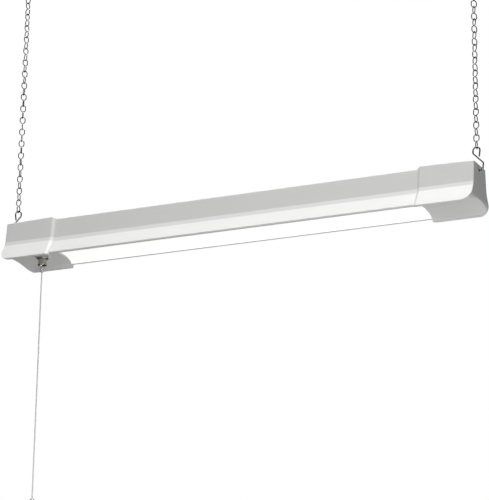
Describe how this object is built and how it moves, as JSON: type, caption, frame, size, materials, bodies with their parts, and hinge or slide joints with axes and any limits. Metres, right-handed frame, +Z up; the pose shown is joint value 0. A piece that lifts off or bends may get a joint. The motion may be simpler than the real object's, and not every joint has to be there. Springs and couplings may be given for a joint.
{
  "type": "hanging shop light",
  "caption": "Strip light for a workshop: folded steel channel with moulded end caps and an arched diffuser, hung from two chains and switched by a pull cord.",
  "frame": {"origin": "in the ceiling plane, midway between the shanks of the two ceiling hooks", "axes": "+X along the light, towards the end without the switch; +Y from its front to its back; +Z up into the ceiling"},
  "size_m": [0.9296, 0.104, 1.0947],
  "materials": {
    "zinc_steel": "zinc-plated, satin",
    "chain": "zinc-plated wire, satin",
    "channel_paint": "white powder coat, satin",
    "cap_plastic": "white, fine satin",
    "diffuser": "opal white, satin",
    "dark_screw": "plated, satin",
    "tray_paint": "white enamel, gloss",
    "lamp_board": "white solder mask on aluminium, satin",
    "lamp_chip": "yellow phosphor, gloss",
    "small_screw": "plated, satin",
    "red_wire": "insulation, gloss",
    "driver_metal": "pale grey enamel, satin",
    "circuit_board": "green solder mask, satin",
    "transformer": "ferrite with an amber winding, matte",
    "capacitor": "sleeved, gloss",
    "black_nylon": "nylon, satin",
    "orange_plastic": "gloss",
    "black_wire": "insulation, gloss",
    "white_wire": "insulation, gloss",
    "green_wire": "insulation, gloss",
    "copper": "tinned copper, satin",
    "green_screw": "green dip, satin",
    "lamp_lead": "insulation, gloss",
    "switch_plastic": "brown moulded resin, satin",
    "spool_plastic": "nylon, satin",
    "spring_steel": "bright wire",
    "contact_brass": "bright",
    "nozzle_metal": "polished nickel",
    "nut_metal": "polished nickel",
    "ball_chain": "polished nickel",
    "cord": "twisted off-white cord, matte",
    "knob_metal": "polished chrome"
  },
  "bodies": {
    "ceiling": {"ceiling_hook_left": "zinc_steel", "ceiling_hook_right": "zinc_steel"},
    "left_upper": {"left_top_link": "chain"},
    "left_links": {"left_chain": "chain"},
    "left_hook": {"left_v_hook": "zinc_steel"},
    "right_upper": {"right_top_link": "chain"},
    "right_links": {"right_chain": "chain"},
    "right_hook": {"right_v_hook": "zinc_steel"},
    "light": {"housing": "channel_paint", "left_end_cap": "cap_plastic", "right_end_cap": "cap_plastic", "lens": "diffuser", "left_bracket": "zinc_steel", "right_bracket": "zinc_steel", "bracket_rivets": "zinc_steel", "cap_screws": "dark_screw", "led_tray": "tray_paint", "tray_posts": "zinc_steel", "tray_screws": "dark_screw", "led_board_front": "lamp_board", "led_board_rear": "lamp_board", "led_chips": "lamp_chip", "board_screws": "small_screw", "board_jumper": "red_wire", "driver_case": "driver_metal", "driver_cover": "driver_metal", "driver_board": "circuit_board", "driver_transformer": "transformer", "driver_capacitors": "capacitor", "driver_screws": "small_screw", "cord_bushing": "black_nylon", "bushing_nut": "black_nylon", "wire_connectors": "orange_plastic", "live_wires": "black_wire", "neutral_wire": "white_wire", "ground_wire": "green_wire", "ground_lug": "copper", "ground_screw": "green_screw", "led_wires": "lamp_lead", "switch_body": "switch_plastic", "switch_cover": "switch_plastic", "switch_spring": "spring_steel", "switch_contacts": "contact_brass", "switch_nozzle": "nozzle_metal", "switch_nut": "nut_metal"},
    "pull": {"pull_chain": "ball_chain", "chain_connector": "ball_chain", "pull_cord": "cord", "pull_knob": "knob_metal"},
    "spool": {"switch_spool": "spool_plastic"}
  },
  "joints": [
    {"name": "left_swing", "type": "hinge", "parent": "ceiling", "child": "left_upper", "pos_m": [-0.452, 0, -0.03008], "axis": [1, 0, 0], "range_deg": [-30, 30]},
    {"name": "left_sway", "type": "hinge", "parent": "left_upper", "child": "left_links", "pos_m": [-0.452, 0, -0.05048], "axis": [0, 1, 0], "range_deg": [-15, 15]},
    {"name": "left_level", "type": "hinge", "parent": "left_links", "child": "left_hook", "pos_m": [-0.452, 0, -0.49884], "axis": [0, 1, 0], "range_deg": [-15, 15]},
    {"name": "right_swing", "type": "hinge", "parent": "ceiling", "child": "right_upper", "pos_m": [0.452, 0, -0.03008], "axis": [1, 0, 0], "range_deg": [-30, 30]},
    {"name": "right_sway", "type": "hinge", "parent": "right_upper", "child": "right_links", "pos_m": [0.452, 0, -0.05048], "axis": [0, 1, 0], "range_deg": [-15, 15]},
    {"name": "right_level", "type": "hinge", "parent": "right_links", "child": "right_hook", "pos_m": [0.452, 0, -0.49884], "axis": [0, 1, 0], "range_deg": [-15, 15]},
    {"name": "light_tilt", "type": "hinge", "parent": "left_hook", "child": "light", "pos_m": [-0.45385, 0, -0.53794], "axis": [1, 0, 0], "range_deg": [-30, 30]},
    {"name": "cord_pull", "type": "slide", "parent": "light", "child": "pull", "axis": [0, 0, -1], "range_m": [0, 0.008], "stiffness_N_per_m": 600, "springref_m": -0.006},
    {"name": "spool_turn", "type": "hinge", "parent": "light", "child": "spool", "pos_m": [-0.3879, 0, -0.57394], "axis": [0, -1, 0], "range_deg": [0, 65]}
  ],
  "couplings": [
    {"joint": "right_swing", "follows": "left_swing", "ratio": 1},
    {"joint": "right_sway", "follows": "left_sway", "ratio": 1},
    {"joint": "left_level", "follows": "left_sway", "ratio": -1},
    {"joint": "right_level", "follows": "left_sway", "ratio": -1},
    {"joint": "spool_turn", "follows": "cord_pull", "rad_per_m": 140.85}
  ]
}
